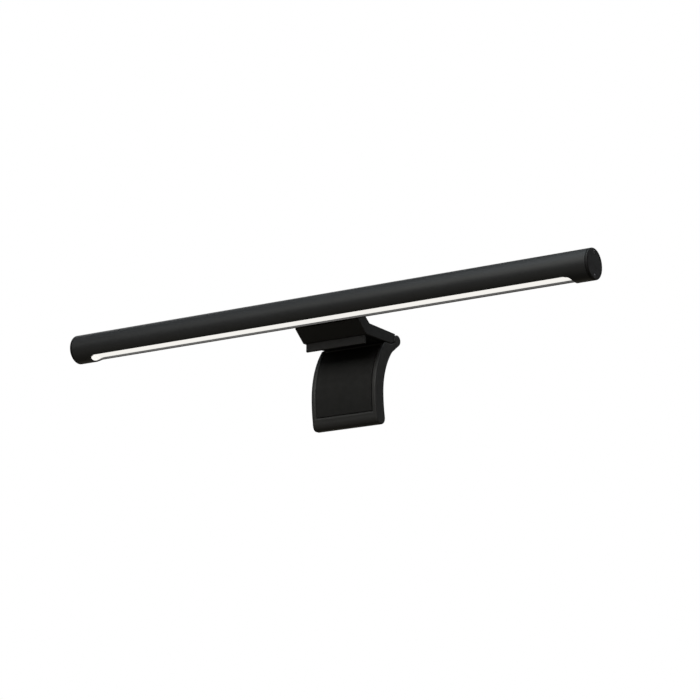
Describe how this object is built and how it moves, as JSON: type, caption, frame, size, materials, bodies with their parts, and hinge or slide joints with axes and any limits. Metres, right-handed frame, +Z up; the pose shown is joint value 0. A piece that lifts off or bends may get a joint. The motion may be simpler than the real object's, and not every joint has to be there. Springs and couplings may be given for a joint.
{
  "type": "clamp-on monitor light bar",
  "caption": "Slim round LED light bar held by magnets in a saddle on a bent arm, with a lip in front and a curved, weighted, sprung clamp plate behind the monitor's top edge.",
  "frame": {"origin": "middle of the pad that rests on the monitor's top edge", "axes": "+X along the bar, to the right for someone facing the monitor, +Y to the back of the monitor, +Z up"},
  "size_m": [0.4512, 0.0781, 0.0925],
  "materials": {
    "bar_black": "fine satin black anodised, slightly bluish in light",
    "cap_black": "fine-grained moulded black plastic",
    "diffuser_white": "frosted translucent acrylic, lit warm white from inside",
    "reflector_white": "satin white reflective film",
    "rail_aluminium": "plain extruded aluminium",
    "led_board_white": "white solder mask on an aluminium core",
    "board_green": "green solder mask",
    "film_amber": "clear amber insulating film",
    "chip_black": "moulded chip package",
    "tin": "tinned sheet",
    "ferrite": "grey ferrite",
    "screw_black": "black oxide screw",
    "lead_red": "wire insulation",
    "keeper_steel": "plain cold-rolled steel",
    "bracket_black": "matte moulded black plastic with a fine grain",
    "rubber_black": "matte black rubber",
    "plate_black": "black powder-coated steel",
    "nickel": "nickel-plated magnet",
    "zinc": "zinc-plated screw",
    "acetal": "natural acetal",
    "spring_steel": "spring wire",
    "clamp_black": "matte moulded black plastic with a fine grain",
    "pad_silicone": "matte black silicone",
    "counterweight_iron": "plain cast iron",
    "pin_steel": "ground steel"
  },
  "bodies": {
    "bracket": {"bracket_shell": "bracket_black", "saddle_liner": "rubber_black", "magnet_left": "nickel", "magnet_right": "nickel", "base_plate": "plate_black", "plate_screw_left_front": "zinc", "plate_screw_left_rear": "zinc", "plate_screw_right_front": "zinc", "plate_screw_right_rear": "zinc", "rest_pad": "rubber_black", "lip_pad": "rubber_black", "hinge_bush_left": "acetal", "hinge_bush_right": "acetal", "torsion_spring_left": "spring_steel", "torsion_spring_right": "spring_steel"},
    "light_bar": {"bar_tube": "bar_black", "diffuser": "diffuser_white", "reflector_front": "reflector_white", "reflector_rear": "reflector_white", "led_rail": "rail_aluminium", "led_board": "led_board_white", "control_board": "board_green", "insulating_sheet": "film_amber", "microcontroller": "chip_black", "inductor": "ferrite", "capacitor_1": "tin", "capacitor_2": "tin", "wireless_module": "chip_black", "board_screw_left": "screw_black", "board_screw_right": "screw_black", "usb_socket": "tin", "usb_surround": "cap_black", "led_lead_positive": "lead_red", "led_lead_negative": "lead_red", "keeper_plate": "keeper_steel", "end_cap_left": "cap_black", "end_cap_right": "cap_black", "cap_screw_left_bottom": "screw_black", "cap_screw_left_top": "screw_black", "cap_screw_right_bottom": "screw_black", "cap_screw_right_top": "screw_black"},
    "rear_clamp": {"clamp_housing": "clamp_black", "clamp_back_cover": "clamp_black", "counterweight": "counterweight_iron", "clamp_pad": "pad_silicone", "clamp_screw_left_top": "zinc", "clamp_screw_left_bottom": "zinc", "clamp_screw_right_top": "zinc", "clamp_screw_right_bottom": "zinc", "hinge_pin": "pin_steel", "pin_plug": "clamp_black"}
  },
  "joints": [
    {"name": "bar_tilt", "type": "hinge", "parent": "bracket", "child": "light_bar", "pos_m": [0, -0.0335, 0.0188], "axis": [1, 0, 0], "range_deg": [-12.5, 12.5]},
    {"name": "clamp_swing", "type": "hinge", "parent": "bracket", "child": "rear_clamp", "pos_m": [0, 0.0291, 0.0048], "axis": [1, 0, 0], "range_deg": [0, 60], "stiffness_Nm_per_rad": 0.15, "springref_deg": -45.84, "deforming": ["torsion_spring_left", "torsion_spring_right"]}
  ]
}
